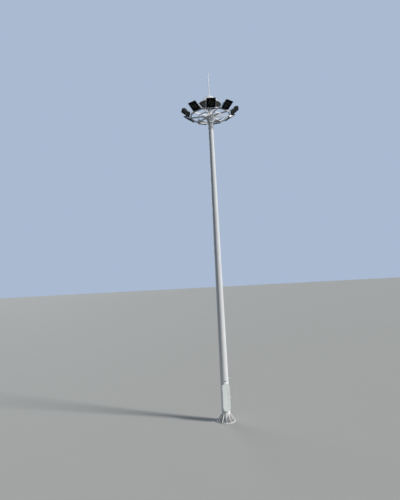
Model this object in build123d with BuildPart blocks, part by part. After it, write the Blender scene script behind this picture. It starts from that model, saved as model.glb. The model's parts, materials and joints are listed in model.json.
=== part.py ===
# High mast floodlight tower: a tapered round steel mast of about 16 m on a ribbed base flange,
# with a ring of nine floodlights, a conical rain hood and a lightning rod on its top.
# Units are millimetres. Z is up. The origin is the middle of the underside of the base flange,
# the access door faces -Y, and every bearing is counted from -Y towards +X.
from build123d import *
from math import cos, radians, sin, sqrt
import os

# Driving dimensions of the mast
mast_height = 16150.0
base_diameter = 430.0
taper = 0.0127
door_section_height = 2300.0
shaft_joint_height = 8200.0
shaft_joint_lap = 620.0
sleeve_length = 1420.0
sleeve_joint_lap = 420.0
door_section_wall = 10.0
lower_wall = 8.0
upper_wall = 6.0
sleeve_wall = 5.0
slip_gap = 0.3
weld_gap = 0.3
running_gap = 0.08

# Base flange, its ribs and the anchor bolt holes
flange_diameter = 900.0
flange_thickness = 30.0
flange_chamfer = 4.0
cable_hole_diameter = 110.0
cable_hole_spacing = 180.0
bolt_count = 12
bolt_edge = 70.0
bolt_hole_diameter = 36.0
rib_thickness = 12.0
rib_height = 330.0
rib_margin = 18.0
rib_nose = 45.0
rib_snipe = 22.0

# Access door on the front of the door section
door_centre_height = 1180.0
door_frame_width = 370.0
door_frame_height = 1340.0
door_arch_rise = 140.0
door_frame_wall = 12.0
door_standout = 45.0
door_opening_inset = 48.0
door_panel_inset = 4.0
door_panel_thickness = 6.0
door_seat_gap = 0.5
door_return_inset = 18.0
door_return_wall = 4.0
door_return_depth = 16.0
hinge_barrel_diameter = 20.0
hinge_pin_diameter = 10.0
hinge_pin_length = 44.0
hinge_knuckle_length = 38.0
hinge_offset = 14.0
hinge_spread_share = 0.64
hinge_leaf = 4.0
hinge_leaf_width = 60.0
hinge_step_gap = 0.4
lock_rises = (-370.0, 155.0)
lock_offset = 95.0
lock_diameter = 34.0
lock_height = 12.0
lock_draft = 12.0
hasp_rise = -10.0
hasp_width = 44.0
hasp_thickness = 5.0
hasp_reach = 46.0
hasp_hole = 12.0

# Vent slot over the door, and the guide eye at its side
vent_rise = 85.0
vent_width = 84.0
vent_height = 42.0
eye_bearing = 75.0
eye_rise = 195.0
eye_reach = 60.0
eye_width = 50.0
eye_thickness = 8.0
eye_hole = 18.0

# Lamp ring near the top
lamp_count = 9
first_lamp_bearing = -11.4
ring_drop = 650.0
ring_radius = 1000.0
ring_width = 50.0
ring_depth = 60.0
ring_wall = 4.0
ring_parts = 3
splice_bearing_offset = 4.0
splice_plate = 8.0
splice_margin = 9.0
spoke_width = 40.0
spoke_wall = 3.0
hub_wall = 12.0
hub_margin = 10.0
hoop_share = 0.64
hoop_thickness = 8.0
hoop_depth = 55.0
collar_drop = 440.0
collar_depth = 60.0
collar_wall = 26.0
gusset_thickness = 10.0
gusset_reach = 420.0
gusset_nose = 26.0
gusset_foot = 20.0
gusset_hole = 84.0
gusset_hole_setting = 0.86
gusset_bow_out = 0.26
gusset_bow_up = 0.58

# Floodlights
lamp_reach = 255.0
lamp_rise = 135.0
lamp_dip = 54.0
lamp_width = 465.0
lamp_length = 500.0
lamp_depth = 130.0
lamp_rim_depth = 28.0
lamp_rim_step = 8.0
lamp_corner = 34.0
lamp_back_inset = 40.0
lamp_back_depth = 56.0
lamp_fin_count = 11
lamp_fin_thickness = 5.0
lamp_glass_thickness = 5.0
lamp_glass_setback = 10.0
lamp_glass_gap = 0.5
lamp_bezel = 20.0
lamp_ledge = 14.0
lamp_cavity = 40.0
lamp_pin_diameter = 16.0
lamp_pin_overhang = 6.0
lamp_boss_diameter = 44.0
lamp_boss_gap = 0.5
yoke_thickness = 6.0
yoke_foot = 25.0
yoke_side_gap = 10.0
yoke_eye_diameter = 60.0

# Rain hood and lightning rod
hood_rise = 400.0
hood_drop = 90.0
hood_top_diameter = 450.0
hood_base_diameter = 1200.0
hood_lip = 24.0
hood_sheet = 4.0
sleeve_cap = 12.0
sleeve_cap_margin = 20.0
hood_post_diameter = 140.0
hood_post_wall = 5.0
stay_count = 6
stay_thickness = 6.0
stay_depth = 44.0
rod_length = 1440.0
rod_point_length = 120.0
rod_upper_length = 350.0
rod_diameter = 46.0
rod_upper_diameter = 34.0
rod_base_diameter = 170.0
rod_base_thickness = 10.0
rod_socket_wall = 14.0
rod_socket_height = 90.0

os.makedirs("parts", exist_ok=True)


def save(piece, name):
    piece.part.label = name
    export_step(piece.part, f"parts/{name}.step")


def mast_radius(height, step=0.0):
    """Outer radius of the tapered mast at a height, with what a slipped-over length adds."""
    return base_diameter / 2 - taper * height / 2 + step


upper_step = slip_gap + upper_wall
sleeve_step = upper_step + slip_gap + sleeve_wall
sleeve_joint_height = mast_height - sleeve_length
ring_plane = mast_height - ring_drop
ring_bottom = ring_plane - ring_depth


def tapered_wall(bottom, top, step, wall):
    """Corners of a tapered tube's wall, as radius and height."""
    return (
        (mast_radius(bottom, step), bottom),
        (mast_radius(top, step), top),
        (mast_radius(top, step - wall), top),
        (mast_radius(bottom, step - wall), bottom),
    )


def bearing_vector(bearing):
    return Vector(sin(radians(bearing)), -cos(radians(bearing)), 0)


def radial_plane(bearing):
    """Upright plane through the mast's axis: local X runs outward and local Y up."""
    outward = bearing_vector(bearing)
    return Plane(origin=(0, 0, 0), x_dir=outward, z_dir=outward.cross(Vector(0, 0, 1)))


def outward_plane(bearing, distance):
    """Upright plane across a bearing: local X runs along the ring, local Y up, local Z outward."""
    outward = bearing_vector(bearing)
    return Plane(origin=outward * distance, x_dir=Vector(0, 0, 1).cross(outward), z_dir=outward)


lamp_bearings = [first_lamp_bearing + 360 / lamp_count * k for k in range(lamp_count)]
spoke_bearings = [bearing + 180 / lamp_count for bearing in lamp_bearings]

# Base flange
with BuildPart() as base_flange:
    with BuildSketch():
        Circle(flange_diameter / 2)
        with GridLocations(cable_hole_spacing, 0, 2, 1):
            Circle(cable_hole_diameter / 2, mode=Mode.SUBTRACT)
        with PolarLocations(flange_diameter / 2 - bolt_edge, bolt_count, start_angle=-90):
            Circle(bolt_hole_diameter / 2, mode=Mode.SUBTRACT)
    extrude(amount=flange_thickness)
    top_rim = base_flange.edges().group_by(Axis.Z)[-1].sort_by(SortBy.LENGTH)[-1]
    chamfer(top_rim, length=flange_chamfer)
save(base_flange, "base_flange")

# Base ribs, one between each two bolts, with the corner at the weld clipped
rib_reach = flange_diameter / 2 - rib_margin
rib_top = flange_thickness + rib_height
with BuildPart() as base_ribs:
    for k in range(bolt_count):
        with BuildSketch(radial_plane((k + 0.5) * 360 / bolt_count)):
            with BuildLine():
                Polyline(
                    (mast_radius(flange_thickness) + weld_gap + rib_snipe, flange_thickness),
                    (rib_reach, flange_thickness),
                    (rib_reach, flange_thickness + rib_nose),
                    (mast_radius(rib_top) + weld_gap + rib_snipe, rib_top),
                    (mast_radius(rib_top) + weld_gap, rib_top),
                    (mast_radius(flange_thickness + rib_snipe) + weld_gap, flange_thickness + rib_snipe),
                    close=True,
                )
            make_face()
        extrude(amount=rib_thickness / 2, both=True)
save(base_ribs, "base_ribs")


# Door section with its vent slot and guide eye, frame, panel, hinges and locks
door_front = mast_radius(door_centre_height) + door_standout
hasp_height = door_centre_height + hasp_rise
vent_centre = door_centre_height + door_frame_height / 2 + vent_rise
eye_height = door_centre_height + door_frame_height / 2 + eye_rise
door_plane = Plane(origin=(0, 0, door_centre_height), x_dir=(1, 0, 0), z_dir=(0, -1, 0))
arch_radius = ((door_frame_width / 2) ** 2 + door_arch_rise**2) / (2 * door_arch_rise)
arch_centre = door_frame_height / 2 - arch_radius


def arched_outline(inset):
    """The door frame's outline, straight-sided with arched ends, drawn in by an inset."""
    half_width = door_frame_width / 2 - inset
    radius = arch_radius - inset
    shoulder = arch_centre + sqrt(radius**2 - half_width**2)
    crown = arch_centre + radius
    with BuildSketch() as outline:
        with BuildLine():
            Line((-half_width, -shoulder), (-half_width, shoulder))
            ThreePointArc((-half_width, shoulder), (0, crown), (half_width, shoulder))
            Line((half_width, shoulder), (half_width, -shoulder))
            ThreePointArc((half_width, -shoulder), (0, -crown), (-half_width, -shoulder))
        make_face()
    return outline.sketch


hasp_end = door_frame_width / 2 + hasp_reach
hasp_eye = door_frame_width / 2 + hasp_reach / 2

with BuildPart() as door_section:
    with BuildSketch(Plane.XZ):
        with BuildLine():
            Polyline(*tapered_wall(flange_thickness, door_section_height, 0, door_section_wall), close=True)
        make_face()
    revolve(axis=Axis.Z)
    with BuildSketch(door_plane):
        add(arched_outline(door_opening_inset))
    extrude(amount=door_front, mode=Mode.SUBTRACT)
    with BuildSketch(Plane(origin=(0, 0, vent_centre), x_dir=(1, 0, 0), z_dir=(0, -1, 0))):
        SlotOverall(vent_width, vent_height)
    extrude(amount=door_front, mode=Mode.SUBTRACT)
    with BuildSketch(radial_plane(eye_bearing)):
        eye_root = mast_radius(eye_height) - door_section_wall / 2
        eye_centre = mast_radius(eye_height) + eye_reach - eye_width / 2
        with Locations(((eye_root + eye_centre) / 2, eye_height)):
            Rectangle(eye_centre - eye_root, eye_width)
        with Locations((eye_centre, eye_height)):
            Circle(eye_width / 2)
            Circle(eye_hole / 2, mode=Mode.SUBTRACT)
    extrude(amount=eye_thickness / 2, both=True)
save(door_section, "door_section")

with BuildPart() as door_frame:
    with BuildSketch(door_plane):
        add(arched_outline(0))
        add(arched_outline(door_frame_wall), mode=Mode.SUBTRACT)
    extrude(amount=door_front)
    with BuildSketch(Plane.XZ):
        with BuildLine():
            Polyline(
                (0, 0),
                (mast_radius(0, weld_gap), 0),
                (mast_radius(door_section_height, weld_gap), door_section_height),
                (0, door_section_height),
                close=True,
            )
        make_face()
    revolve(axis=Axis.Z, mode=Mode.SUBTRACT)
    with BuildSketch(Plane(origin=(0, -door_front, hasp_height), x_dir=(1, 0, 0), z_dir=(0, -1, 0))):
        with Locations(((hasp_end + door_frame_width / 2 - door_frame_wall / 2) / 2, 0)):
            Rectangle(hasp_reach + door_frame_wall / 2, hasp_width)
        with Locations((hasp_eye, 0)):
            Circle(hasp_hole / 2, mode=Mode.SUBTRACT)
    extrude(amount=-hasp_thickness)
save(door_frame, "door_frame")

panel_back = door_front + door_seat_gap
panel_front = panel_back + door_panel_thickness
with BuildPart() as door_panel:
    with BuildSketch(door_plane.offset(panel_back)):
        add(arched_outline(door_panel_inset))
    extrude(amount=door_panel_thickness)
    with BuildSketch(door_plane.offset(panel_back)):
        add(arched_outline(door_return_inset))
        add(arched_outline(door_return_inset + door_return_wall), mode=Mode.SUBTRACT)
    extrude(amount=-door_return_depth)
save(door_panel, "door_panel")

hinge_x = -(door_frame_width / 2 + hinge_offset)
hinge_y = -(door_front + door_panel_thickness / 2)
hinge_half_spread = hinge_spread_share * door_frame_height / 2
hinge_heights = [door_centre_height - hinge_half_spread, door_centre_height + hinge_half_spread]
frame_side = -door_frame_width / 2

with BuildPart() as door_hinge_frame_leaves:
    for height in hinge_heights:
        with BuildSketch(Plane.XY.offset(height - hinge_knuckle_length)):
            with Locations((hinge_x, hinge_y)):
                Circle(hinge_barrel_diameter / 2)
            with BuildLine():
                Polyline(
                    (frame_side, hinge_y),
                    (frame_side, hinge_y + hinge_leaf_width),
                    (frame_side - hinge_leaf, hinge_y + hinge_leaf_width),
                    (frame_side - hinge_leaf, hinge_y + hinge_barrel_diameter / 2),
                    (hinge_x, hinge_y + hinge_barrel_diameter / 4),
                    (hinge_x, hinge_y),
                    close=True,
                )
            make_face()
        extrude(amount=hinge_knuckle_length)
        with BuildSketch(Plane.XY.offset(height)):
            with Locations((hinge_x, hinge_y)):
                Circle(hinge_pin_diameter / 2)
        extrude(amount=hinge_pin_length)
save(door_hinge_frame_leaves, "door_hinge_frame_leaves")

with BuildPart() as door_hinge_panel_leaves:
    for height in hinge_heights:
        with BuildSketch(Plane.XY.offset(height + hinge_step_gap)):
            with Locations((hinge_x, hinge_y)):
                Circle(hinge_barrel_diameter / 2)
            with BuildLine():
                Polyline(
                    (hinge_x, -panel_front),
                    (hinge_x + hinge_leaf_width, -panel_front),
                    (hinge_x + hinge_leaf_width, -panel_front - hinge_leaf),
                    (hinge_x, -panel_front - hinge_leaf),
                    close=True,
                )
            make_face()
            with Locations((hinge_x, hinge_y)):
                Circle(hinge_pin_diameter / 2 + running_gap, mode=Mode.SUBTRACT)
        extrude(amount=hinge_knuckle_length)
save(door_hinge_panel_leaves, "door_hinge_panel_leaves")

with BuildPart() as door_locks:
    for rise in lock_rises:
        with BuildSketch(door_plane.offset(panel_front)):
            with Locations((lock_offset, rise)):
                Circle(lock_diameter / 2)
        extrude(amount=lock_height, taper=lock_draft)
save(door_locks, "door_locks")

with BuildPart() as door_hasp:
    with BuildSketch(Plane(origin=(0, -panel_front, hasp_height), x_dir=(1, 0, 0), z_dir=(0, -1, 0))):
        with Locations(((lock_offset + hasp_end) / 2, 0)):
            SlotOverall(hasp_end - lock_offset, hasp_width)
        with Locations((hasp_eye, 0)):
            Circle(hasp_hole / 2, mode=Mode.SUBTRACT)
    extrude(amount=hasp_thickness)
save(door_hasp, "door_hasp")

# Lower shaft, upper shaft and head sleeve
shaft_joint_top = shaft_joint_height + shaft_joint_lap
sleeve_joint_top = sleeve_joint_height + sleeve_joint_lap
with BuildPart() as lower_shaft:
    with BuildSketch(Plane.XZ):
        with BuildLine():
            Polyline(*tapered_wall(door_section_height, shaft_joint_top, 0, lower_wall), close=True)
        make_face()
    revolve(axis=Axis.Z)
save(lower_shaft, "lower_shaft")

with BuildPart() as upper_shaft:
    with BuildSketch(Plane.XZ):
        with BuildLine():
            Polyline(*tapered_wall(shaft_joint_height, sleeve_joint_top, upper_step, upper_wall), close=True)
        make_face()
    revolve(axis=Axis.Z)
save(upper_shaft, "upper_shaft")

with BuildPart() as head_sleeve:
    with BuildSketch(Plane.XZ):
        with BuildLine():
            Polyline(*tapered_wall(sleeve_joint_height, mast_height, sleeve_step, sleeve_wall), close=True)
        make_face()
    revolve(axis=Axis.Z)
save(head_sleeve, "head_sleeve")


def sleeve_band(name, bottom, top, wall):
    """A ring that fits round the head sleeve."""
    outer = mast_radius(bottom, sleeve_step) + wall
    with BuildPart() as band:
        with BuildSketch(Plane.XZ):
            with BuildLine():
                Polyline(
                    (mast_radius(bottom, sleeve_step) + weld_gap, bottom),
                    (outer, bottom),
                    (outer, top),
                    (mast_radius(top, sleeve_step) + weld_gap, top),
                    close=True,
                )
            make_face()
        revolve(axis=Axis.Z)
    save(band, name)
    return outer


collar_bottom = ring_plane - collar_drop
collar_top = collar_bottom + collar_depth
sleeve_band("bracket_collar", collar_bottom, collar_top, collar_wall)
hub_outer = sleeve_band("hub_ring", ring_bottom, ring_plane + hub_margin, hub_wall)

# Bracket gussets under the spokes, curved like a trumpet, each with a lightening hole
gusset_heel = mast_radius(collar_top, sleeve_step) + weld_gap
gusset_root = mast_radius(ring_bottom, sleeve_step) + weld_gap
gusset_toe = gusset_heel + gusset_foot
gusset_bow = (
    gusset_toe + gusset_bow_out * (gusset_reach - gusset_heel),
    collar_top + gusset_bow_up * (ring_bottom - collar_top),
)
gusset_hole_step = gusset_hole_setting * gusset_hole
with BuildPart() as bracket_gussets:
    for bearing in spoke_bearings:
        with BuildSketch(radial_plane(bearing)):
            with BuildLine():
                Line((gusset_heel, collar_top), (gusset_toe, collar_top))
                ThreePointArc(
                    (gusset_toe, collar_top),
                    gusset_bow,
                    (gusset_reach, ring_bottom - gusset_nose),
                )
                Line((gusset_reach, ring_bottom - gusset_nose), (gusset_reach, ring_bottom))
                Line((gusset_reach, ring_bottom), (gusset_root, ring_bottom))
                Line((gusset_root, ring_bottom), (gusset_heel, collar_top))
            make_face()
            with Locations((gusset_root + gusset_hole_step, ring_bottom - gusset_hole_step)):
                Circle(gusset_hole / 2, mode=Mode.SUBTRACT)
        extrude(amount=gusset_thickness / 2, both=True)
save(bracket_gussets, "bracket_gussets")

# Ring spokes, box tubes from the hub to the outer ring
ring_inner = ring_radius - ring_width / 2
with BuildPart() as ring_spokes:
    for bearing in spoke_bearings:
        with BuildSketch(outward_plane(bearing, hub_outer - hub_wall)):
            with Locations((0, ring_plane - ring_depth / 2)):
                Rectangle(spoke_width, ring_depth)
                Rectangle(spoke_width - 2 * spoke_wall, ring_depth - 2 * spoke_wall, mode=Mode.SUBTRACT)
        extrude(amount=ring_radius - hub_outer + hub_wall)
    with BuildSketch(Plane.XY.offset(ring_bottom)):
        Circle(ring_inner - weld_gap)
        Circle(hub_outer + weld_gap, mode=Mode.SUBTRACT)
    extrude(amount=ring_depth, mode=Mode.INTERSECT)
save(ring_spokes, "ring_spokes")

hoop_radius = hoop_share * ring_radius
with BuildPart() as ring_hoop:
    with BuildSketch(Plane.XY.offset(ring_bottom)):
        Circle(hoop_radius + hoop_thickness / 2)
        Circle(hoop_radius - hoop_thickness / 2, mode=Mode.SUBTRACT)
    extrude(amount=-hoop_depth)
save(ring_hoop, "ring_hoop")

# Outer ring in three bolted lengths of box tube
length_angle = 360 / ring_parts
for part_number in range(ring_parts):
    start_bearing = spoke_bearings[part_number * lamp_count // ring_parts] + splice_bearing_offset
    with BuildPart() as ring_length:
        with BuildSketch(radial_plane(start_bearing)):
            with Locations((ring_radius, ring_plane - ring_depth / 2)):
                Rectangle(ring_width, ring_depth)
                Rectangle(ring_width - 2 * ring_wall, ring_depth - 2 * ring_wall, mode=Mode.SUBTRACT)
        revolve(axis=Axis.Z, revolution_arc=length_angle)
        for end_bearing, side in ((start_bearing, 1), (start_bearing + length_angle, -1)):
            with BuildSketch(radial_plane(end_bearing)):
                with Locations((ring_radius, ring_plane - ring_depth / 2)):
                    Rectangle(ring_width + 2 * splice_margin, ring_depth + 2 * splice_margin)
            extrude(amount=-side * splice_plate)
    save(ring_length, f"outer_ring_{part_number + 1}")

# Lamp yokes, U brackets that stand on the outer ring and hold each lamp by its sides
lamp_radius = ring_radius + lamp_reach
lamp_height = ring_plane + lamp_rise
leg_offset = lamp_width / 2 + yoke_side_gap
with BuildPart() as lamp_yokes:
    for bearing in lamp_bearings:
        across = outward_plane(bearing, ring_radius)
        foot_origin = across.origin + Vector(0, 0, ring_plane)
        with BuildSketch(Plane(origin=foot_origin, x_dir=across.x_dir, z_dir=(0, 0, 1))):
            Rectangle(2 * (leg_offset + yoke_thickness), ring_width)
        extrude(amount=yoke_thickness)
        for side in (1, -1):
            leg_plane = Plane(
                origin=across.x_dir * (side * leg_offset),
                x_dir=bearing_vector(bearing),
                z_dir=across.x_dir * -1,
            )
            with BuildSketch(leg_plane):
                with Locations((ring_radius, ring_plane + yoke_foot / 2)):
                    Rectangle(ring_width, yoke_foot)
                with Locations((lamp_radius, lamp_height)):
                    Circle(yoke_eye_diameter / 2)
                make_hull()
                with Locations((lamp_radius, lamp_height)):
                    Circle(lamp_pin_diameter / 2 + running_gap, mode=Mode.SUBTRACT)
            extrude(amount=-side * yoke_thickness)
save(lamp_yokes, "lamp_yokes")


def lamp_plane(bearing):
    """Plane through a lamp's pivot: local X along the ring, local Y up the face, local Z out of the glass."""
    outward = bearing_vector(bearing)
    dip = radians(lamp_dip)
    normal = outward * cos(dip) - Vector(0, 0, 1) * sin(dip)
    origin = outward * lamp_radius + Vector(0, 0, lamp_height)
    return Plane(origin=origin, x_dir=Vector(0, 0, 1).cross(outward), z_dir=normal)


# Floodlights: a finned die-cast housing with its glass, on two trunnion pins
lamp_front = lamp_depth / 2
lamp_back_width = lamp_width - 2 * lamp_back_inset
lamp_back_length = lamp_length - 2 * lamp_back_inset
lamp_shoulder_width = lamp_width - 2 * lamp_rim_step
lamp_shoulder_length = lamp_length - 2 * lamp_rim_step
seat_width = lamp_width - 2 * lamp_bezel
seat_length = lamp_length - 2 * lamp_bezel
cavity_width = seat_width - 2 * lamp_ledge
cavity_length = seat_length - 2 * lamp_ledge
glass_width = seat_width - 2 * lamp_glass_gap
glass_length = seat_length - 2 * lamp_glass_gap
glass_back = lamp_front - lamp_glass_setback - lamp_glass_thickness
back_level = lamp_front - lamp_rim_depth - lamp_back_depth
fin_depth = back_level + lamp_depth / 2
fin_pitch = (lamp_back_width - 2 * lamp_corner) / (lamp_fin_count - 1)
for k, bearing in enumerate(lamp_bearings):
    face = lamp_plane(bearing)
    with BuildPart() as lamp_housing:
        with BuildSketch(face.offset(lamp_front)):
            RectangleRounded(lamp_width, lamp_length, lamp_corner)
        extrude(amount=-lamp_rim_depth)
        with BuildSketch(face.offset(lamp_front - lamp_rim_depth)):
            RectangleRounded(lamp_shoulder_width, lamp_shoulder_length, lamp_corner)
        with BuildSketch(face.offset(back_level)):
            RectangleRounded(lamp_back_width, lamp_back_length, lamp_corner)
        loft()
        with BuildSketch(face.offset(back_level)):
            with GridLocations(fin_pitch, 0, lamp_fin_count, 1):
                Rectangle(lamp_fin_thickness, lamp_back_length - 2 * lamp_corner)
        extrude(amount=-fin_depth)
        with BuildSketch(face.offset(lamp_front)):
            RectangleRounded(seat_width, seat_length, lamp_corner / 2)
        extrude(amount=glass_back - lamp_front, mode=Mode.SUBTRACT)
        with BuildSketch(face.offset(glass_back)):
            RectangleRounded(cavity_width, cavity_length, lamp_corner / 2)
        extrude(amount=-lamp_cavity, mode=Mode.SUBTRACT)
        for side in (1, -1):
            side_plane = Plane(
                origin=face.origin + face.x_dir * (side * cavity_width / 2),
                x_dir=face.y_dir,
                z_dir=face.x_dir * side,
            )
            with BuildSketch(side_plane):
                Circle(lamp_boss_diameter / 2)
            extrude(amount=leg_offset - lamp_boss_gap - cavity_width / 2)
            with BuildSketch(side_plane):
                Circle(lamp_pin_diameter / 2)
            extrude(amount=leg_offset + yoke_thickness + lamp_pin_overhang - cavity_width / 2)
    save(lamp_housing, f"lamp_{k + 1}_housing")

    with BuildPart() as lamp_glass:
        with BuildSketch(face.offset(glass_back)):
            RectangleRounded(glass_width, glass_length, lamp_corner / 2)
        extrude(amount=lamp_glass_thickness)
    save(lamp_glass, f"lamp_{k + 1}_glass")

# Rain hood on its post and stays
hood_base_height = mast_height - hood_drop
hood_top_height = hood_base_height + hood_rise
post_foot = mast_height + sleeve_cap
with BuildPart() as sleeve_cap_plate:
    with BuildSketch(Plane.XY.offset(mast_height)):
        Circle(mast_radius(mast_height, sleeve_step) + sleeve_cap_margin)
    extrude(amount=sleeve_cap)
save(sleeve_cap_plate, "sleeve_cap_plate")

hood_slope = (hood_base_diameter - hood_top_diameter) / 2 / (hood_top_height - hood_base_height - hood_lip)


def hood_underside(height):
    """Radius of the hood's inner face at a height between its lip and its top plate."""
    return hood_base_diameter / 2 - hood_sheet - (height - hood_base_height - hood_lip) * hood_slope


with BuildPart() as rain_hood:
    with BuildSketch(Plane.XZ):
        with BuildLine():
            Polyline(
                (0, hood_top_height),
                (hood_top_diameter / 2, hood_top_height),
                (hood_base_diameter / 2, hood_base_height + hood_lip),
                (hood_base_diameter / 2, hood_base_height),
                (hood_base_diameter / 2 - hood_sheet, hood_base_height),
                (hood_base_diameter / 2 - hood_sheet, hood_base_height + hood_lip),
                (hood_underside(hood_top_height - hood_sheet), hood_top_height - hood_sheet),
                (0, hood_top_height - hood_sheet),
                close=True,
            )
        make_face()
    revolve(axis=Axis.Z)
save(rain_hood, "rain_hood")

with BuildPart() as hood_post:
    with BuildSketch(Plane.XY.offset(post_foot)):
        Circle(hood_post_diameter / 2)
        Circle(hood_post_diameter / 2 - hood_post_wall, mode=Mode.SUBTRACT)
    extrude(amount=hood_top_height - hood_sheet - post_foot)
save(hood_post, "hood_post")

stay_top = hood_top_height - hood_sheet - weld_gap
stay_root = hood_post_diameter / 2 + weld_gap
stay_end_height = hood_base_height + hood_lip + stay_depth
with BuildPart() as hood_stays:
    for k in range(stay_count):
        with BuildSketch(radial_plane(k * 360 / stay_count)):
            with BuildLine():
                Polyline(
                    (stay_root, stay_top),
                    (hood_underside(stay_top) - weld_gap, stay_top),
                    (hood_underside(stay_end_height) - weld_gap, stay_end_height),
                    (hood_underside(stay_end_height) - weld_gap, stay_end_height - stay_depth / 2),
                    (hood_underside(stay_top) - stay_depth, stay_top - stay_depth),
                    (stay_root, stay_top - 2 * stay_depth),
                    close=True,
                )
            make_face()
        extrude(amount=stay_thickness / 2, both=True)
save(hood_stays, "hood_stays")

with BuildPart() as rod_base:
    with BuildSketch(Plane.XY.offset(hood_top_height)):
        Circle(rod_base_diameter / 2)
        Circle(rod_diameter / 2 + running_gap, mode=Mode.SUBTRACT)
    extrude(amount=rod_base_thickness)
    with BuildSketch(Plane.XY.offset(hood_top_height + rod_base_thickness)):
        Circle(rod_diameter / 2 + running_gap + rod_socket_wall)
        Circle(rod_diameter / 2 + running_gap, mode=Mode.SUBTRACT)
    extrude(amount=rod_socket_height)
save(rod_base, "rod_base")

rod_tip_height = hood_top_height + rod_length
rod_point_height = rod_tip_height - rod_point_length
rod_step_height = rod_tip_height - rod_upper_length
with BuildPart() as lightning_rod:
    with BuildSketch(Plane.XZ):
        with BuildLine():
            Polyline(
                (0, hood_top_height),
                (rod_diameter / 2, hood_top_height),
                (rod_diameter / 2, rod_step_height),
                (rod_upper_diameter / 2, rod_step_height + rod_upper_diameter),
                (rod_upper_diameter / 2, rod_point_height),
                (0, rod_tip_height),
                close=True,
            )
        make_face()
    revolve(axis=Axis.Z)
save(lightning_rod, "lightning_rod")
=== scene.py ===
"""Looks of a high mast floodlight tower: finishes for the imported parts, and the small parts on them.

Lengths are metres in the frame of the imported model: Z up, door towards -Y, origin under the flange.
A bearing is counted in degrees from -Y towards +X. Colours are linear red, green and blue.
"""
import itertools
import json
import math

import bmesh
import bpy
from mathutils import Matrix, Vector

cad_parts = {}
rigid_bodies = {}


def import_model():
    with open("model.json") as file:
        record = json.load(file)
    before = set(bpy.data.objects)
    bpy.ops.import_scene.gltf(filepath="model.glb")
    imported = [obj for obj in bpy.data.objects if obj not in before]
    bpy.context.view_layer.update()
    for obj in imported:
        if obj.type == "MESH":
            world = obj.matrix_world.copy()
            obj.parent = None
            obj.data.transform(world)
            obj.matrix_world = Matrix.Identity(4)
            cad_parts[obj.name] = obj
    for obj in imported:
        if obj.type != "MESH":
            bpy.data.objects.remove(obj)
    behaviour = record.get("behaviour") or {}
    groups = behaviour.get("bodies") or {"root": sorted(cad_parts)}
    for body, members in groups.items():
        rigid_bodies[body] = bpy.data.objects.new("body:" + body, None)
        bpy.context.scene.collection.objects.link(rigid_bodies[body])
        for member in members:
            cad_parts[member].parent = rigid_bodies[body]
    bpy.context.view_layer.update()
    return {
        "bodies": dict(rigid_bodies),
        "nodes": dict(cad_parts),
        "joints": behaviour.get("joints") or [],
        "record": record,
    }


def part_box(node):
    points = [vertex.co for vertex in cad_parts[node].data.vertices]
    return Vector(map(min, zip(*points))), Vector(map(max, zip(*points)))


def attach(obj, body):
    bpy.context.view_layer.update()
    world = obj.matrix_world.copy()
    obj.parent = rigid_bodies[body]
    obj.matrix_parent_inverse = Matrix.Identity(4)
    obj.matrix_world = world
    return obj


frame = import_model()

nodes_by_name = frame["nodes"]
joints = {joint["name"]: joint for joint in frame["joints"]}
record = frame["record"]
UP = Vector((0, 0, 1))


# Places in the frame

def bearing_vector(bearing):
    angle = math.radians(bearing)
    return Vector((math.sin(angle), -math.cos(angle), 0))


def point_at(bearing, radius, height):
    return bearing_vector(bearing) * radius + UP * height


def bearing_of(point):
    return math.degrees(math.atan2(point.x, -point.y))


def half_width(node, axis=0):
    low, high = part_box(node)
    return (high[axis] - low[axis]) / 2


# Camera, fitted to the mast's foot, joints, hood and rod tip in the photograph
image_height = 500
focal_pixels = 400
sensor_size = 36.0
far_clip = 2000
camera_distance = 20.285
camera_height = 6.774
camera_bearing = -15.0
camera_pan = 2.485
camera_pitch = 4.781
camera_roll = -2.867


def make_camera():
    data = bpy.data.cameras.new("camera")
    data.sensor_width = sensor_size
    data.sensor_height = sensor_size
    data.sensor_fit = "AUTO"
    data.lens = focal_pixels * sensor_size / image_height
    data.clip_end = far_clip
    camera = bpy.data.objects.new("camera", data)
    bpy.context.scene.collection.objects.link(camera)
    level = -bearing_vector(camera_bearing + camera_pan)
    pitch = math.radians(camera_pitch)
    roll = math.radians(camera_roll)
    forward = level * math.cos(pitch) + UP * math.sin(pitch)
    right = forward.cross(UP).normalized()
    above = right.cross(forward)
    right, above = (
        right * math.cos(roll) + above * math.sin(roll),
        above * math.cos(roll) - right * math.sin(roll),
    )
    turn = Matrix((right, above, -forward)).transposed()
    place = point_at(camera_bearing, camera_distance, camera_height)
    camera.matrix_world = Matrix.Translation(place) @ turn.to_4x4()
    bpy.context.scene.camera = camera


make_camera()


# Materials
coat_white = (0.86, 0.875, 0.9)
coat_dull = (0.8, 0.82, 0.85)
foot_dust = (0.52, 0.47, 0.38)
dust_height = 1.1
# Painted shade: the near black that undersides are darkened towards
painted_shade_black = (0.045, 0.045, 0.055)
rust_brown = (0.23, 0.1, 0.045)
settled_dust = (0.3, 0.28, 0.24)


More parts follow.
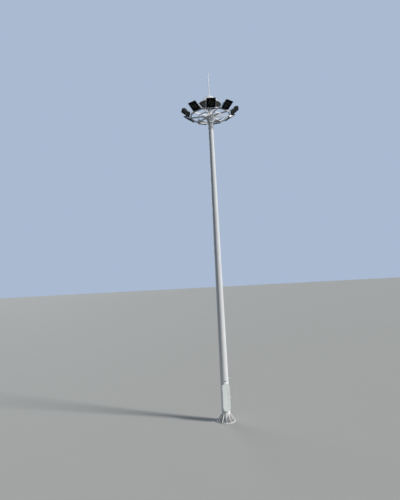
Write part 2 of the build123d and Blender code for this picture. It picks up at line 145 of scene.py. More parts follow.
class Paint:
    """A material being built, with short calls for the nodes that most of them need."""

    def __init__(self, name, roughness=0.5, metallic=0.0, specular=0.5):
        self.material = bpy.data.materials.new(name)
        self.material.use_nodes = True
        self.nodes = self.material.node_tree.nodes
        self.links = self.material.node_tree.links
        self.shader = self.nodes["Principled BSDF"]
        self.shade("Roughness", roughness)
        self.shade("Metallic", metallic)
        self.shade("Specular IOR Level", specular)
        self.place = self.nodes.new("ShaderNodeTexCoord").outputs["Object"]

    def feed(self, socket, value):
        """Links another node's output to a socket, or sets the socket to a plain value or colour."""
        if isinstance(value, bpy.types.NodeSocket):
            self.links.new(value, socket)
        elif socket.type == "RGBA":
            socket.default_value = (*value, 1)
        else:
            socket.default_value = value

    def shade(self, name, value):
        self.feed(self.shader.inputs[name], value)

    def node(self, kind, inputs=None, **settings):
        node = self.nodes.new(kind)
        for name, value in settings.items():
            setattr(node, name, value)
        for name, value in (inputs or {}).items():
            self.feed(node.inputs[name], value)
        return node

    def stretched(self, x, y, z):
        return self.node("ShaderNodeMapping", {"Vector": self.place, "Scale": (x, y, z)}).outputs["Vector"]

    def noise(self, scale, detail=3.0, place=None):
        inputs = {"Vector": place or self.place, "Scale": scale, "Detail": detail, "Roughness": 0.55}
        return self.node("ShaderNodeTexNoise", inputs).outputs["Fac"]

    def cells(self, scale):
        return self.node("ShaderNodeTexVoronoi", {"Vector": self.place, "Scale": scale})

    def ramp(self, value, low, high, to_low=0.0, to_high=1.0):
        """Turns values from low to high into values from to_low to to_high."""
        inputs = {
            "Value": value, "From Min": low, "From Max": high, "To Min": to_low, "To Max": to_high,
        }
        return self.node("ShaderNodeMapRange", inputs).outputs["Result"]

    def times(self, first, second):
        return self.node("ShaderNodeMath", {0: first, 1: second}, operation="MULTIPLY").outputs["Value"]

    def mix(self, share, first, second):
        """The first colour where the share is 0 and the second where it is 1."""
        return self.node("ShaderNodeMix", {0: share, 6: first, 7: second}, data_type="RGBA").outputs[2]

    def height(self):
        return self.node("ShaderNodeSeparateXYZ", {"Vector": self.place}).outputs["Z"]

    def upward(self):
        """1 on what faces up, 0 on walls and -1 on undersides."""
        normal = self.node("ShaderNodeNewGeometry").outputs["Normal"]
        return self.node("ShaderNodeSeparateXYZ", {"Vector": normal}).outputs["Z"]

    def bump(self, value, distance, strength, under=None):
        """Relief of the surface, over the relief of an earlier call where one is given."""
        inputs = {"Height": value, "Distance": distance, "Strength": strength}
        if under:
            inputs["Normal"] = under
        normal = self.node("ShaderNodeBump", inputs).outputs["Normal"]
        self.shade("Normal", normal)
        return normal


def scaled(colour, factor):
    return [factor * value for value in colour]


def painted_steel(name, pale=coat_white, dull=coat_dull, dust=foot_dust, dust_top=dust_height, underside_shade=0.0):
    """Paint over steel: soft mottling, rain streaks, dust towards the foot, and painted shade on
    undersides.
    """
    clean_gloss = 0.45
    shaded_gloss = 0.1
    paint = Paint(name, specular=clean_gloss)
    mottle = paint.ramp(paint.noise(1.6, detail=4.0), 0.35, 0.65)
    body = paint.mix(mottle, pale, dull)
    rain = paint.noise(1.0, place=paint.stretched(22, 22, 0.5))
    streaked = paint.mix(paint.ramp(rain, 0.52, 0.74, 0.0, 0.4), body, scaled(dull, 0.86))
    splash = paint.ramp(paint.height(), dust_top, 0.02)
    patches = paint.ramp(paint.noise(9.0, detail=5.0), 0.4, 0.72, 0.0, 0.75)
    weathered_and_shaded = paint.mix(paint.times(splash, patches), streaked, dust)
    # Painted shade: surfaces that face down are darkened in clouds towards a near black, and reflect less
    if underside_shade:
        under = paint.ramp(paint.upward(), -0.2, -0.6, 0.0, underside_shade)
        underside_shade_share = paint.times(under, paint.ramp(paint.noise(3.0, detail=4.0), 0.3, 0.7, 0.8, 1.0))
        weathered_and_shaded = paint.mix(underside_shade_share, weathered_and_shaded, painted_shade_black)
        paint.shade("Specular IOR Level", paint.ramp(underside_shade_share, 0.0, 1.0, clean_gloss, shaded_gloss))
    paint.shade("Base Color", weathered_and_shaded)
    paint.shade("Roughness", paint.ramp(paint.noise(5.0), 0.3, 0.7, 0.34, 0.52))
    waves = paint.bump(paint.noise(7.0, detail=2.0), 0.004, 0.25)
    paint.bump(paint.noise(260.0, detail=2.0), 0.0004, 0.35, under=waves)
    return paint.material


def zinc_coat(name, pale, dull, rust_share=0.0, metallic=0.75):
    """Galvanised steel with its crystal spangle, and a little rust where rust_share is set."""
    paint = Paint(name, metallic=metallic)
    spangle = paint.cells(70.0).outputs["Color"]
    tone = paint.node("ShaderNodeSeparateColor", {"Color": spangle}).outputs["Red"]
    body = paint.mix(tone, pale, dull)
    rust = paint.ramp(paint.noise(55.0, detail=5.0), 0.56, 0.7, 0.0, rust_share)
    paint.shade("Base Color", paint.mix(rust, body, rust_brown))
    paint.shade("Roughness", paint.ramp(tone, 0.0, 1.0, 0.34, 0.52))
    paint.bump(paint.noise(300.0, detail=2.0), 0.0003, 0.4)
    return paint.material


def black_coat(name, colour, dust_share):
    """Powder coat on a die casting, with pale dust on what faces up."""
    paint = Paint(name, specular=0.25)
    body = paint.mix(paint.noise(14.0, detail=4.0), colour, scaled(colour, 1.8))
    settled = paint.ramp(paint.upward(), 0.35, 1.0, 0.0, dust_share)
    dust = paint.times(settled, paint.ramp(paint.noise(24.0, detail=5.0), 0.3, 0.75))
    paint.shade("Base Color", paint.mix(dust, body, settled_dust))
    paint.shade("Roughness", paint.ramp(paint.noise(30.0), 0.3, 0.7, 0.4, 0.58))
    paint.bump(paint.noise(700.0, detail=2.0), 0.0003, 0.5)
    return paint.material


def clear_glass(name):
    """Toughened glass, tinted dark as painted shade over the lamp's inside, with a thin film of dirt."""
    paint = Paint(name, specular=0.3)
    paint.shade("Transmission Weight", 1.0)
    paint.shade("IOR", 1.1)
    film = paint.ramp(paint.noise(11.0, detail=5.0), 0.45, 0.75)
    paint.shade("Base Color", paint.mix(film, (0.38, 0.41, 0.43), (0.3, 0.32, 0.32)))
    paint.shade("Roughness", paint.ramp(film, 0.0, 1.0, 0.02, 0.14))
    return paint.material


def dimpled_reflector(name):
    paint = Paint(name, metallic=1.0)
    dimples = paint.cells(140.0).outputs["Distance"]
    # Painted shade: the bowl's metal is dark grey rather than bright, standing in for the shade inside the
    # lamp
    paint.shade("Base Color", paint.mix(dimples, (0.2, 0.205, 0.215), (0.11, 0.11, 0.115)))
    paint.shade("Roughness", paint.ramp(dimples, 0.0, 1.0, 0.22, 0.42))
    paint.bump(dimples, 0.002, 0.6)
    return paint.material


def phosphor(name):
    paint = Paint(name, roughness=0.6)
    grains = paint.cells(420.0).outputs["Distance"]
    # Painted shade: the phosphor is a dim brown-yellow, standing in for the shade deep inside the lamp
    paint.shade("Base Color", paint.mix(grains, (0.2, 0.17, 0.07), (0.14, 0.115, 0.045)))
    paint.bump(grains, 0.0006, 0.5)
    return paint.material


def dark_rubber(name):
    paint = Paint(name, specular=0.35)
    worn = paint.noise(60.0, detail=4.0)
    paint.shade("Base Color", paint.mix(worn, (0.02, 0.02, 0.022), (0.05, 0.05, 0.05)))
    paint.shade("Roughness", paint.ramp(paint.noise(40.0), 0.3, 0.7, 0.55, 0.8))
    paint.bump(paint.noise(400.0, detail=2.0), 0.0004, 0.5)
    return paint.material


white_steel = painted_steel("white_paint")
# Painted shade: the frame's undersides are darkened, and the hood's undersides and inside are made nearly
# black
frame_steel = painted_steel("frame_paint", underside_shade=0.65)
hood_steel = painted_steel("hood_paint", (0.88, 0.89, 0.91), (0.82, 0.83, 0.86), underside_shade=0.97)
door_steel = painted_steel("door_paint", (0.86, 0.92, 0.91), (0.82, 0.875, 0.865), (0.5, 0.48, 0.4), 0.9)
# Painted shade: the stays under the hood are painted dark grey
stay_shade_steel = painted_steel("stay_painted_shade", (0.34, 0.34, 0.36), (0.28, 0.28, 0.3), settled_dust)
weld_paint = painted_steel("weld_paint", (0.8, 0.81, 0.83), (0.7, 0.71, 0.72), (0.45, 0.38, 0.28), 0.8)
zinc = zinc_coat("zinc", (0.7, 0.72, 0.74), (0.56, 0.58, 0.6))
light_zinc = zinc_coat("rod_zinc", (0.9, 0.91, 0.93), (0.8, 0.81, 0.84), metallic=0.15)
bolt_zinc = zinc_coat("bolt_zinc", (0.56, 0.57, 0.58), (0.4, 0.41, 0.42), rust_share=0.55)
lock_metal = zinc_coat("lock_metal", (0.6, 0.6, 0.58), (0.5, 0.49, 0.46), rust_share=0.2)
black_housing = black_coat("black_housing", (0.014, 0.015, 0.018), dust_share=0.5)
black_baffle = black_coat("black_baffle", (0.01, 0.01, 0.011), dust_share=0.0)
glass = clear_glass("lamp_glass")
reflector = dimpled_reflector("lamp_reflector")
emitter = phosphor("lamp_emitter")
rubber = dark_rubber("rubber")

material_of_slot = {
    "white_paint": white_steel,
    "door_paint": door_steel,
    "zinc_steel": zinc,
    "lock_metal": lock_metal,
    "black_housing": black_housing,
    "lamp_glass": glass,
}
frame_starts = ("outer_ring", "ring_", "hub_", "bracket_")
special_finish = {name: frame_steel for name in nodes_by_name if name.startswith(frame_starts)}
special_finish["rain_hood"] = hood_steel
special_finish["hood_stays"] = stay_shade_steel
for name in ("lightning_rod", "door_hasp", "door_hinge_panel_leaves", "door_hinge_frame_leaves"):
    special_finish[name] = light_zinc
slot_of_node = {part["node"]: part["material_slot"] for part in record["subparts"]}
for name, node in nodes_by_name.items():
    node.data.materials.clear()
    node.data.materials.append(special_finish.get(name, material_of_slot[slot_of_node[name]]))


# Mesh helpers
sharp_angle = math.radians(32)
ripple_turn = 2.4


def finished(name, draw, material, body, slot, *place):
    """Makes an object of what draw puts into an empty mesh, and lets it ride on a body."""
    shape = bmesh.new()
    draw(shape, *place)
    bmesh.ops.recalc_face_normals(shape, faces=shape.faces)
    for edge in shape.edges:
        edge.smooth = len(edge.link_faces) == 2 and edge.calc_face_angle(0) < sharp_angle
    for face in shape.faces:
        face.smooth = True
    mesh = bpy.data.meshes.new(name)
    shape.to_mesh(mesh)
    shape.free()
    mesh.materials.append(material)
    piece = bpy.data.objects.new(name, mesh)
    bpy.context.scene.collection.objects.link(piece)
    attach(piece, body)


def seat(origin, axis, toward=None):
    """Matrix that puts local Z along an axis and local X near a direction."""
    up = axis.normalized()
    if toward is None:
        toward = UP if abs(up.z) < 0.9 else Vector((1, 0, 0))
    side = (toward - up * toward.dot(up)).normalized()
    turn = Matrix((side, up.cross(side), up)).transposed()
    return Matrix.Translation(origin) @ turn.to_4x4()


def raised(place, height):
    return place @ Matrix.Translation((0, 0, height))


def skin(shape, rings, looped=False):
    """Skins rings of points that have the same count, with closed ends or looped back to the first."""
    made = [[shape.verts.new(point) for point in ring] for ring in rings]
    count = len(made[0])
    following_rings = made[1:] + made[:1] if looped else made[1:]
    for ring, following in zip(made, following_rings):
        for index in range(count):
            after = (index + 1) % count
            shape.faces.new((ring[index], ring[after], following[after], following[index]))
    if not looped:
        shape.faces.new(made[0][::-1])
        shape.faces.new(made[-1])


def circle(place, radius, height, segments):
    """Points round local Z, at a height over the place."""
    points = []
    for step in range(segments):
        angle = 2 * math.pi * step / segments
        points.append(place @ Vector((radius * math.cos(angle), radius * math.sin(angle), height)))
    return points


def lathe(shape, place, profile, segments, looped=False):
    """Turns a profile of radius and height about local Z, with flat ends or looped back to its start."""
    skin(shape, [circle(place, radius, height, segments) for radius, height in profile], looped)


def hex_nut(shape, place, flats, height):
    """Hexagon nut or bolt head with the rounded chamfer of a turned one, over local Z from 0."""
    steps = 36
    turned_radius = flats / 2 * 1.04
    face_share = 0.985
    chamfer_slope = math.tan(math.radians(30))
    rings = []
    for at_top, on_face in ((False, True), (False, False), (True, False), (True, True)):
        ring = []
        for step in range(steps):
            angle = 2 * math.pi * step / steps
            radius = flats / 2 / math.cos(angle % (math.pi / 3) - math.pi / 6)
            level = height if at_top else 0.0
            if on_face:
                radius = min(radius, turned_radius) * face_share
            else:
                chamfer = max(0.0, radius - turned_radius) * chamfer_slope
                level += -chamfer if at_top else chamfer
            ring.append(place @ Vector((radius * math.cos(angle), radius * math.sin(angle), level)))
        rings.append(ring)
    skin(shape, rings)


def bolt_head(shape, place, thread):
    """Washer, hexagon head or nut, and the stub of thread, sized from the thread's diameter."""
    washer = 0.14 * thread
    washer_radius = 1.08 * thread
    head = 0.8 * thread
    lathe(shape, place, [
        (washer_radius - 0.06 * thread, 0),
        (washer_radius, 0.3 * washer),
        (washer_radius, washer),
        (washer_radius - 0.08 * thread, washer),
    ], segments=24)
    hex_nut(shape, raised(place, washer), 1.6 * thread, head)
    lathe(shape, raised(place, washer + head), [
        (0.5 * thread, -0.1 * thread),
        (0.5 * thread, 0.2 * thread),
        (0.42 * thread, 0.3 * thread),
    ], segments=16)


def bead(shape, points, radius, closed=False, sides=6, ripple=0.16, pitch=0.012):
    """A weld bead along points: a thin tube whose girth ripples a little."""
    dense = []
    following_points = points[1:] + points[:1] if closed else points[1:]
    for start, end in zip(points, following_points):
        steps = max(1, int((end - start).length / pitch))
        dense += [start.lerp(end, step / steps) for step in range(steps)]
    if not closed:
        dense.append(points[-1])
    rings = []
    for index, point in enumerate(dense):
        before = dense[index - 1] if closed or index > 0 else point
        after = dense[(index + 1) % len(dense)] if closed or index + 1 < len(dense) else point
        girth = radius * (1 + ripple * math.sin(ripple_turn * index))
        rings.append(circle(seat(point, after - before), girth, 0, sides))
    skin(shape, rings, looped=closed)


def round_bead(shape, path_radius, height, radius, count=60, **how):
    """A bead round the mast's axis."""
    path = [point_at(360 * step / count, path_radius, height) for step in range(count)]
    bead(shape, path, radius, closed=True, **how)


# Anchor bolts
flange_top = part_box("base_flange")[1].z
anchor_pattern = next(mount["dims"] for mount in record["mounts"] if mount["name"] == "anchor_bolts")
anchor_count = anchor_pattern["count"]
anchor_circle_radius = anchor_pattern["pcd_mm"] / 2000
anchor_radius = 0.0165
anchor_flats = 0.05
anchor_washer = 0.006
anchor_washer_radius = 0.036
anchor_nut = 0.027
anchor_lock_nut = 0.017
anchor_stub = 0.03
thread_turns = 9
thread_depth = 0.0016


def draw_anchor_bolts(shape):
    """A washer, a nut, a lock nut and a stub of thread on each bolt, with the nuts at differing turns."""
    washer_edge = 0.002
    stub_foot = anchor_washer + anchor_nut + anchor_lock_nut
    stub_top = stub_foot + anchor_stub
    thread = [(anchor_radius, stub_foot - 0.002)]
    for turn in range(thread_turns):
        groove = stub_foot + anchor_stub * turn / thread_turns
        thread += [
            (anchor_radius, groove),
            (anchor_radius - thread_depth, groove + anchor_stub / thread_turns / 2),
        ]
    thread += [(anchor_radius - 0.001, stub_top), (anchor_radius - 0.004, stub_top + 0.003)]
    for step in range(anchor_count):
        bearing = 360 * step / anchor_count
        nut_bearing = bearing + 9 * (step % 4)
        lock_nut_turn = math.radians(17 + 11 * (step % 3))
        place = seat(point_at(bearing, anchor_circle_radius, flange_top), UP, bearing_vector(nut_bearing))
        lathe(shape, place, [
            (anchor_washer_radius - washer_edge, 0),
            (anchor_washer_radius, 0.0015),
            (anchor_washer_radius, anchor_washer),
            (anchor_washer_radius - washer_edge, anchor_washer),
        ], segments=28)
        hex_nut(shape, raised(place, anchor_washer), anchor_flats, anchor_nut)
        turned = place @ Matrix.Rotation(lock_nut_turn, 4, "Z")
        hex_nut(shape, raised(turned, anchor_washer + anchor_nut), anchor_flats, anchor_lock_nut)
        lathe(shape, place, thread, segments=20)


finished("anchor_bolts", draw_anchor_bolts, bolt_zinc, "root", "zinc_steel")


# Weld beads of base and mast
door_section_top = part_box("door_section")[1].z
mast_foot_radius = half_width("door_section", axis=1)
lower_shaft_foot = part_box("lower_shaft")[0].z
taper = (mast_foot_radius - half_width("lower_shaft")) / (lower_shaft_foot - flange_top)
rib_count = anchor_count
rib_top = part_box("base_ribs")[1].z
rib_reach = 0.432
rib_notch = 0.03
rib_weld_shift = 0.0075


def mast_radius(height):
    return mast_foot_radius - (height - flange_top) * taper


def draw_base_welds(shape):
    """A bead round the mast's foot, and two on each side of each rib: on the flange and up the mast."""
    round_bead(shape, mast_radius(flange_top) + 0.003, flange_top + 0.003, radius=0.006, count=72)
    weld_level = flange_top + 0.002
    seams = (
        [(mast_radius(flange_top) + rib_notch, weld_level), (rib_reach, weld_level)],
        [(mast_radius(height) + 0.001, height) for height in (flange_top + rib_notch, rib_top)],
    )
    for step in range(rib_count):
        outward = bearing_vector((step + 0.5) * 360 / rib_count)
        across = UP.cross(outward)
        for side, seam in itertools.product((1, -1), seams):
            shift = across * (side * rib_weld_shift)
            bead(shape, [outward * reach + shift + UP * height for reach, height in seam], radius=0.0045)


def draw_mast_welds(shape):
    """A bead where the door section meets the lower shaft."""
    round_bead(shape, mast_radius(door_section_top) - 0.001, door_section_top, radius=0.0035, count=90)


finished("base_welds", draw_base_welds, weld_paint, "root", "white_paint")
finished("mast_welds", draw_mast_welds, weld_paint, "root", "white_paint")


# Floodlights. Sizes are width and length, and levels are along the glass's outward normal
lamp_dip = math.radians(54)
lamp_size = (0.465, 0.5)
lamp_front = 0.065
lamp_corner = 0.034
seat_size = (0.425, 0.46)
glass_front = 0.055
glass_back = 0.05
cavity_size = (0.397, 0.432)
cavity_floor = 0.01
trim_top = lamp_front + 0.003
trim_corner = 0.016
trim_lap = 0.007
trim_screw_margin = 0.007
baffle_top = glass_back - 0.004
baffle_thickness = 0.0015
bowl_radius = 0.155
bowl_rim = glass_back - 0.0045
bowl_wall = 0.0012
bowl_segments = 72
bowl_steps = 8
emitter_radius = 0.042
yoke_outer = 0.2488
pivot_thread = 0.018
lamp_names = sorted(name for name in frame["bodies"] if name.startswith("lamp_"))


def lamp_place(name):
    """Local X along the ring, local Y up the face and local Z out of the glass, from the tilt joint."""
    joint = joints[name + "_tilt"]
    pivot = Vector(joint["pos_m"])
    across = Vector(joint["axis"]).normalized()
    outward = Vector((pivot.x, pivot.y, 0)).normalized()
    normal = outward * math.cos(lamp_dip) - UP * math.sin(lamp_dip)
    turn = Matrix((across, normal.cross(across), normal)).transposed()
    return Matrix.Translation(pivot) @ turn.to_4x4()


def rounded_rectangle(size, less, corner, level, steps=5):
    """Points round a rectangle that is less wide and less long than a size by the same length."""
    half_x, half_y = ((length - less) / 2 - corner for length in size)
    points = []
    for quarter, (x, y) in enumerate(((1, 1), (-1, 1), (-1, -1), (1, -1))):
        centre = Vector((x * half_x, y * half_y, level))
        for step in range(steps + 1):
            angle = math.pi / 2 * (quarter + step / steps)
            points.append(centre + Vector((corner * math.cos(angle), corner * math.sin(angle), 0)))
    return points


def edge_distance(angle, width, length, corner):
    """How far the edge of a rounded rectangle is from its middle, along an angle."""
    along_x, along_y = abs(math.cos(angle)), abs(math.sin(angle))
    if along_y * width / 2 <= along_x * (length / 2 - corner):
        return width / 2 / along_x
    if along_x * length / 2 <= along_y * (width / 2 - corner):
        return length / 2 / along_y
    middle = Vector((width / 2 - corner, length / 2 - corner))
    reach = middle.dot(Vector((along_x, along_y)))
    return reach + math.sqrt(reach * reach - middle.length_squared + corner * corner)


def framed_ring(shape, place, outlines):
    """A closed frame whose cross-section follows a list of outlines, each with the same count."""
    skin(shape, [[place @ point for point in outline] for outline in outlines], looped=True)


def draw_trim(shape, place):
    """Frame that laps over the glass, and its eight screws."""
    framed_ring(shape, place, [
        rounded_rectangle(lamp_size, 0.004, lamp_corner, lamp_front),
        rounded_rectangle(lamp_size, 0.008, lamp_corner, trim_top),
        rounded_rectangle(seat_size, trim_lap - 0.004, trim_corner, trim_top),
        rounded_rectangle(seat_size, trim_lap, trim_corner, lamp_front + 0.001),
        rounded_rectangle(seat_size, trim_lap, trim_corner, glass_front),
        rounded_rectangle(seat_size, trim_lap - 0.006, trim_corner, glass_front),
    ])
    screw = [(0.0055, 0), (0.0055, 0.0012), (0.004, 0.0028), (0.0015, 0.0032)]
    for x, y in itertools.product((-1, 0, 1), repeat=2):
        if x or y:
            margin = trim_screw_margin - (0.005 if x and y else 0)
            spot = Vector((x * (seat_size[0] / 2 + margin), y * (seat_size[1] / 2 + margin), trim_top))
            lathe(shape, place @ Matrix.Translation(spot), screw, segments=12)


def draw_gasket(shape, place):
    """Rubber lip in the seat, round the glass."""
    framed_ring(shape, place, [
        rounded_rectangle(seat_size, 0.001, 0.017, glass_front),
        rounded_rectangle(seat_size, 0.001, 0.017, glass_front + 0.002),
        rounded_rectangle(seat_size, 0.015, 0.014, glass_front + 0.0012),
        rounded_rectangle(seat_size, 0.019, 0.013, glass_front),
    ])


def draw_baffle(shape, place):
    """Black plate under the glass, with a round hole for the bowl."""
    width, length = (side - 0.001 for side in cavity_size)
    outline, hole = [], []
    for step in range(bowl_segments):
        angle = 2 * math.pi * step / bowl_segments
        edge = edge_distance(angle, width, length, lamp_corner)
        for points, reach in ((outline, edge), (hole, bowl_radius)):
            points.append(Vector((reach * math.cos(angle), reach * math.sin(angle), baffle_top)))
    under = Vector((0, 0, -baffle_thickness))
    framed_ring(shape, place, [
        outline, hole, [point + under for point in hole], [point + under for point in outline],
    ])


def draw_reflector(shape, place):
    """Round bowl in steps, from the baffle's hole down to the emitter."""
    inside = [(bowl_radius, bowl_rim)]
    for step in range(1, bowl_steps + 1):
        share = step / bowl_steps
        radius = bowl_radius - (bowl_radius - emitter_radius) * share
        depth = (bowl_rim - cavity_floor - 0.002) * math.sin(share * math.pi / 2)
        inside.append((radius, bowl_rim - depth))
    outside = [(radius + bowl_wall, level - bowl_wall) for radius, level in reversed(inside)]
    lathe(shape, place, inside + outside, bowl_segments, looped=True)


def draw_emitter(shape, place):
    """Round plate of light sources on the cavity's floor."""
    lathe(shape, place, [
        (emitter_radius, cavity_floor + 0.0005),
        (emitter_radius, cavity_floor + 0.003),
        (emitter_radius * 0.94, cavity_floor + 0.004),
        (0.002, cavity_floor + 0.0044),
    ], segments=40)


def draw_pivot_nuts(shape, place):
    """A nut on each trunnion pin, outside the yoke's leg."""
    for side in (1, -1):
        outward = place.to_3x3() @ Vector((side, 0, 0))
        spot = place @ Vector((side * yoke_outer, 0, 0))
        bolt_head(shape, seat(spot, outward, UP), pivot_thread)


for name in lamp_names:
    place = lamp_place(name)
    finished(name + "_trim", draw_trim, black_housing, name, "black_housing", place)
    finished(name + "_gasket", draw_gasket, rubber, name, "black_housing", place)
    finished(name + "_baffle", draw_baffle, black_baffle, name, "black_housing", place)
    finished(name + "_reflector", draw_reflector, reflector, name, "lock_metal", place)
    finished(name + "_emitter", draw_emitter, emitter, name, "lock_metal", place)
    finished(name + "_pivot_nuts", draw_pivot_nuts, bolt_zinc, name, "zinc_steel", place)


# Lamp ring: bolts of yokes and splices, weld beads of the head, sleeve screws
ring_bottom, ring_top = (corner.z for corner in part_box("ring_spokes"))
ring_radius = 1.0
lamp_bearings = [bearing_of(Vector(joints[name + "_tilt"]["pos_m"])) for name in lamp_names]
half_bay = 180 / len(lamp_bearings)
yoke_base = 0.006
yoke_bolt_shift = 0.09
lamps_per_length = 3
splice_bearing_shift = 4
splice_plate_shift = 0.0045
splice_bolt_shift = 0.0295
splice_half_grip = 0.008
sleeve_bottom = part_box("head_sleeve")[0].z
sleeve_radius = half_width("head_sleeve")
sleeve_taper = 0.0056


def draw_yoke_bolts(shape):
    """Two bolts through each yoke's foot into the ring."""
    for bearing in lamp_bearings:
        outward = bearing_vector(bearing)
        across = UP.cross(outward)
        for side in (-1, 1):
            spot = outward * ring_radius + across * (side * yoke_bolt_shift) + UP * (ring_top + yoke_base)
            bolt_head(shape, seat(spot, UP, outward), thread=0.014)


def draw_splice_bolts(shape):
    """Four bolts through each pair of plates, where two lengths of the outer ring meet."""
    levels = (ring_top + splice_plate_shift, ring_bottom - splice_plate_shift)
    shifts = (-splice_bolt_shift, splice_bolt_shift)
    for lamp_bearing in lamp_bearings[::lamps_per_length]:
        outward = bearing_vector(lamp_bearing + half_bay + splice_bearing_shift)
        along = UP.cross(outward)
        for level, inward, side in itertools.product(levels, shifts, (-1, 1)):
            spot = outward * (ring_radius + inward) + UP * level + along * (side * splice_half_grip)
            hex_nut(shape, seat(spot, along * side, UP), flats=0.008, height=0.0035)


def draw_head_welds(shape):
    """Beads at both ends of each spoke, along each gusset's top, and round collar and sleeve."""
    spoke_ends = (half_width("hub_ring") + 0.001, ring_radius - 0.0265)
    spoke_side = 0.021
    gusset_side = 0.0065
    gusset_reaches = (0.15, 0.41)
    for bearing in lamp_bearings:
        outward = bearing_vector(bearing + half_bay)
        across = UP.cross(outward)
        for end, side in itertools.product(spoke_ends, (1, -1)):
            foot = outward * end + across * (side * spoke_side)
            bead(shape, [foot + UP * (ring_bottom + 0.002), foot + UP * (ring_top - 0.002)], radius=0.004)
        for side in (1, -1):
            shift = across * (side * gusset_side) + UP * (ring_bottom - 0.001)
            bead(shape, [outward * reach + shift for reach in gusset_reaches], radius=0.0035)
    for corner in reversed(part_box("bracket_collar")):
        round_bead(shape, half_width("bracket_collar") - 0.024, corner.z, radius=0.0045)
    round_bead(shape, sleeve_radius - 0.003, sleeve_bottom + 0.001, radius=0.0035)


def draw_sleeve_screws(shape):
    """Two rows of three, set half a step apart."""
    for row, rise in enumerate((0.07, 0.24)):
        radius = sleeve_radius - 0.0006 - sleeve_taper * rise
        for step in range(3):
            bearing = 120 * step + 60 * row + 22
            spot = point_at(bearing, radius, sleeve_bottom + rise)
            bolt_head(shape, seat(spot, bearing_vector(bearing), UP), thread=0.016)


finished("yoke_bolts", draw_yoke_bolts, bolt_zinc, "root", "zinc_steel")
finished("splice_bolts", draw_splice_bolts, bolt_zinc, "root", "zinc_steel")
finished("head_welds", draw_head_welds, weld_paint, "root", "white_paint")
finished("sleeve_screws", draw_sleeve_screws, bolt_zinc, "root", "zinc_steel")


# Rain hood: rolled edges and seams. Rod base: bolts
hood_low, hood_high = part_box("rain_hood")
hood_base_radius = half_width("rain_hood") - 0.001
hood_top_radius = 0.225
hood_lip_top = hood_low.z + 0.024
hood_seams = 6
rod_plate_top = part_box("rod_base")[0].z + 0.01
rod_plate_bolt_radius = 0.064
rod_socket_radius = 0.037


def draw_hood_edges(shape):
    """Smooth rolls round the lip's foot, the lip's top and the cone's top, and raised seams up the cone."""
    for path_radius, height, radius in (
        (hood_base_radius, hood_low.z + 0.003, 0.005),
        (hood_base_radius, hood_lip_top, 0.003),
        (hood_top_radius, hood_high.z - 0.001, 0.004),
    ):
        round_bead(shape, path_radius, height, radius, count=96, ripple=0.0, pitch=0.05)
    for step in range(hood_seams):
        bearing = 360 / hood_seams * (step + 0.5)
        foot = point_at(bearing, hood_base_radius, hood_lip_top)
        top = point_at(bearing, hood_top_radius, hood_high.z)
        bead(shape, [foot, top], radius=0.0045, sides=8, ripple=0.0, pitch=0.05)


def draw_rod_fasteners(shape):
    """Four bolts in the rod's base plate and two set screws in its socket."""
    for step in range(4):
        spot = point_at(90 * step + 45, rod_plate_bolt_radius, rod_plate_top)
        bolt_head(shape, seat(spot, UP), thread=0.012)
    for step in range(2):
        bearing = 180 * step + 20
        spot = point_at(bearing, rod_socket_radius, rod_plate_top + 0.06)
        bolt_head(shape, seat(spot, bearing_vector(bearing), UP), thread=0.01)


finished("hood_edges", draw_hood_edges, white_steel, "root", "white_paint")
finished("rod_fasteners", draw_rod_fasteners, bolt_zinc, "root", "zinc_steel")


# Door: lock inserts and hinge screws
door_outward = Vector((0, -1, 0))
door_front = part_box("door_panel")[0].y
hinge_leaf_height = 0.038
hinge_leaf_front = door_front - 0.004


def draw_lock_inserts(shape):
    """A turned collar and a three-sided key stud in each lock."""
    lock_low, lock_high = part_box("door_locks")
    lock_x = (lock_low.x + lock_high.x) / 2
    lock_radius = half_width("door_locks")
    collar = [(0.0095, -0.001), (0.0125, -0.001), (0.0125, 0.0015), (0.0105, 0.0022), (0.0095, 0.0012)]
    stud = [(0.006, -0.001), (0.006, 0.0008), (0.0045, 0.0016)]
    for height in (lock_low.z + lock_radius, lock_high.z - lock_radius):
        place = seat(Vector((lock_x, lock_low.y, height)), door_outward, UP)
        lathe(shape, place, collar, segments=28, looped=True)
        lathe(shape, place, stud, segments=3)


def draw_hinge_screws(shape):
    """Four domed screws in each hinge leaf on the panel."""
    leaf_low, leaf_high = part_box("door_hinge_panel_leaves")
    pin_x = leaf_low.x + 0.01
    screw = [(0.0045, 0), (0.0043, 0.0012), (0.003, 0.0024), (0.001, 0.0027)]
    leaf_feet = (leaf_low.z, leaf_high.z - hinge_leaf_height)
    for foot, x, z in itertools.product(leaf_feet, (0.028, 0.048), (0.009, 0.029)):
        place = seat(Vector((pin_x + x, hinge_leaf_front, foot + z)), door_outward, UP)
        lathe(shape, place, screw, segments=14)


finished("lock_inserts", draw_lock_inserts, lock_metal, "door", "lock_metal")
finished("hinge_screws", draw_hinge_screws, bolt_zinc, "door", "zinc_steel")


# Studio. The floor and sky colours are seen, and the bounce colours and the fill only light the object
floor_half_size = 600.0
floor_colour = (0.43, 0.43, 0.42)
floor_bounce = (0.43, 0.43, 0.4)
far_bounce = (0.07, 0.075, 0.085)
bounce_near = 5.0
bounce_far = 18.0
sky_colour = (0.4, 0.49, 0.64)
fill_colour = (0.66, 0.82, 1.0)
fill_strength = 0.16
sun_strength = 3.2
sun_bearing = 55.0
sun_elevation = 36.0
sun_softness = 9.0
sun_colour = (1.0, 0.975, 0.93)
rear_strength = 1.15
rear_bearing = 198.0
rear_elevation = 24.0
rear_softness = 40.0
rear_colour = (0.86, 0.93, 1.0)


def seen_directly(nodes, links):
    """1 for camera, glossy and transmission rays, which see the floor and sky colours, else 0."""
    path = nodes.new("ShaderNodeLightPath")
    largest = path.outputs["Is Camera Ray"]
    for name in ("Is Glossy Ray", "Is Transmission Ray"):
        either = nodes.new("ShaderNodeMath")
        either.operation = "MAXIMUM"
        links.new(largest, either.inputs[0])
        links.new(path.outputs[name], either.inputs[1])
        largest = either.outputs["Value"]
    return largest


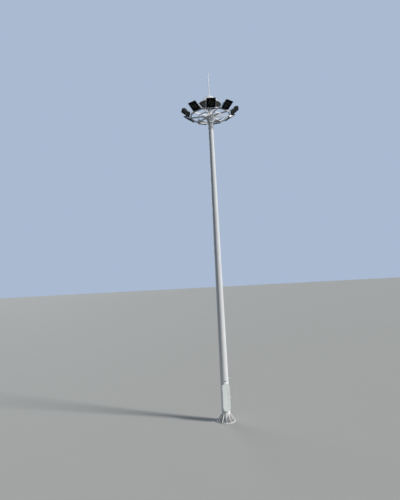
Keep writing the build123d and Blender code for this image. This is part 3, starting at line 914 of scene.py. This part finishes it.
def make_floor():
    mesh = bpy.data.meshes.new("floor")
    half = floor_half_size
    corners = [(-half, -half, 0), (half, -half, 0), (half, half, 0), (-half, half, 0)]
    mesh.from_pydata(corners, [], [(0, 1, 2, 3)])
    floor = bpy.data.objects.new("floor", mesh)
    bpy.context.scene.collection.objects.link(floor)
    paint = Paint("floor", roughness=0.9, specular=0.1)
    shown = paint.mix(paint.noise(0.4, detail=4.0), floor_colour, scaled(floor_colour, 0.96))
    distance = paint.node("ShaderNodeVectorMath", {0: paint.place}, operation="LENGTH").outputs["Value"]
    bounced = paint.mix(paint.ramp(distance, bounce_near, bounce_far), floor_bounce, far_bounce)
    paint.shade("Base Color", paint.mix(seen_directly(paint.nodes, paint.links), bounced, shown))
    mesh.materials.append(paint.material)


def make_lamp(name, strength, bearing, elevation, softness, colour):
    """A far light with parallel rays: the wider its softness in degrees, the softer its shadow."""
    data = bpy.data.lights.new(name, "SUN")
    data.energy = strength
    data.angle = math.radians(softness)
    data.color = colour
    lamp = bpy.data.objects.new(name, data)
    bpy.context.scene.collection.objects.link(lamp)
    rise = math.radians(elevation)
    toward = point_at(bearing, math.cos(rise), math.sin(rise))
    lamp.matrix_world = seat(toward * 50, toward)


def make_background(nodes, colour, strength):
    background = nodes.new("ShaderNodeBackground")
    background.inputs["Color"].default_value = (*colour, 1)
    background.inputs["Strength"].default_value = strength
    return background.outputs["Background"]


def make_light():
    world = bpy.data.worlds.new("studio")
    bpy.context.scene.world = world
    world.use_nodes = True
    nodes = world.node_tree.nodes
    links = world.node_tree.links
    nodes.clear()
    output = nodes.new("ShaderNodeOutputWorld")
    choose = nodes.new("ShaderNodeMixShader")
    links.new(seen_directly(nodes, links), choose.inputs["Fac"])
    links.new(make_background(nodes, fill_colour, fill_strength), choose.inputs[1])
    links.new(make_background(nodes, sky_colour, 1.0), choose.inputs[2])
    links.new(choose.outputs["Shader"], output.inputs["Surface"])
    make_lamp("sun", sun_strength, sun_bearing, sun_elevation, sun_softness, sun_colour)
    make_lamp("rear_light", rear_strength, rear_bearing, rear_elevation, rear_softness, rear_colour)


make_floor()
make_light()
bpy.context.scene.view_settings.view_transform = "Standard"
